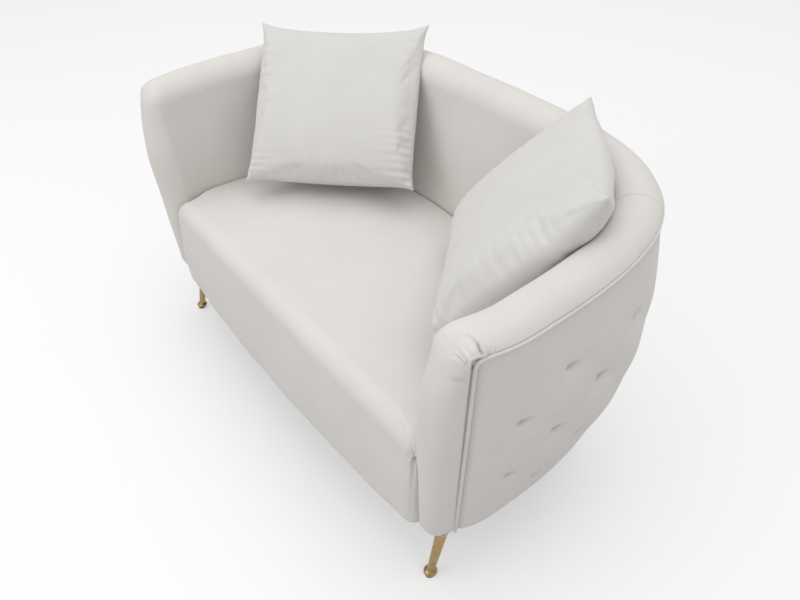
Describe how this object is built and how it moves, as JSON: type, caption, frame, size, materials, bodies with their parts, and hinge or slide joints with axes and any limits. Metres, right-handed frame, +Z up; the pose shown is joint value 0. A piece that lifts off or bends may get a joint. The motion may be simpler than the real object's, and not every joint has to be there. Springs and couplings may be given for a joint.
{
  "type": "sofa",
  "caption": "Compact tub sofa for two with a padded roll along arms and back, a tight seat, a diamond-buttoned outside, splayed turned legs and loose scatter cushions.",
  "frame": {"origin": "Middle of the footprint, on the floor under the feet.", "axes": "+X along the seat to the right of someone facing the sofa, +Y from front to back, +Z up."},
  "size_m": [1.3508, 0.7291, 0.8171],
  "materials": {
    "ivory_velvet": "short-pile velvet",
    "white_velvet": "short-pile velvet",
    "upholstery_foam": "open-cell foam",
    "birch_plywood": "sawn, unfinished",
    "fibreboard": "hard fibreboard",
    "elastic_webbing": "woven elastic",
    "black_dust_cloth": "non-woven cloth",
    "antique_brass": "polished, slightly aged",
    "zinc_plate": "zinc plated",
    "black_glide": "moulded"
  },
  "bodies": {
    "sofa": {"apron_foam": "upholstery_foam", "back_base_rail": "birch_plywood", "back_top_rail": "birch_plywood", "dust_cover": "black_dust_cloth", "front_base_rail": "birch_plywood", "inner_liner_board": "fibreboard", "inside_cover": "ivory_velvet", "inside_foam": "upholstery_foam", "left_arm_facing": "ivory_velvet", "left_arm_front_post": "birch_plywood", "left_arm_rear_post": "birch_plywood", "left_back_post": "birch_plywood", "left_base_rail": "birch_plywood", "left_corner_post": "birch_plywood", "left_front_corner_block": "birch_plywood", "left_front_glide": "black_glide", "left_front_leg": "antique_brass", "left_front_leg_plate": "zinc_plate", "left_rear_corner_block": "birch_plywood", "left_rear_glide": "black_glide", "left_rear_leg": "antique_brass", "left_rear_leg_plate": "zinc_plate", "left_seat_stretcher": "birch_plywood", "left_top_rail": "birch_plywood", "outer_liner_board": "fibreboard", "outer_welt": "ivory_velvet", "outside_tufted_panel": "ivory_velvet", "right_arm_facing": "ivory_velvet", "right_arm_front_post": "birch_plywood", "right_arm_rear_post": "birch_plywood", "right_back_post": "birch_plywood", "right_base_rail": "birch_plywood", "right_corner_post": "birch_plywood", "right_front_corner_block": "birch_plywood", "right_front_glide": "black_glide", "right_front_leg": "antique_brass", "right_front_leg_plate": "zinc_plate", "right_rear_corner_block": "birch_plywood", "right_rear_glide": "black_glide", "right_rear_leg": "antique_brass", "right_rear_leg_plate": "zinc_plate", "right_seat_stretcher": "birch_plywood", "right_top_rail": "birch_plywood", "seat_cover": "ivory_velvet", "seat_foam": "upholstery_foam", "seat_strap_1": "elastic_webbing", "seat_strap_2": "elastic_webbing", "seat_strap_3": "elastic_webbing", "seat_strap_4": "elastic_webbing", "seat_strap_5": "elastic_webbing", "seat_strap_6": "elastic_webbing"},
    "left_cushion": {"left_scatter_cushion": "white_velvet"},
    "right_cushion": {"right_scatter_cushion": "white_velvet"}
  },
  "joints": [
    {"name": "left_cushion_lift", "type": "slide", "parent": "sofa", "child": "left_cushion", "axis": [0, 0, 1], "range_m": [0, 0.4]},
    {"name": "right_cushion_lift", "type": "slide", "parent": "sofa", "child": "right_cushion", "axis": [0, 0, 1], "range_m": [0, 0.4]}
  ]
}
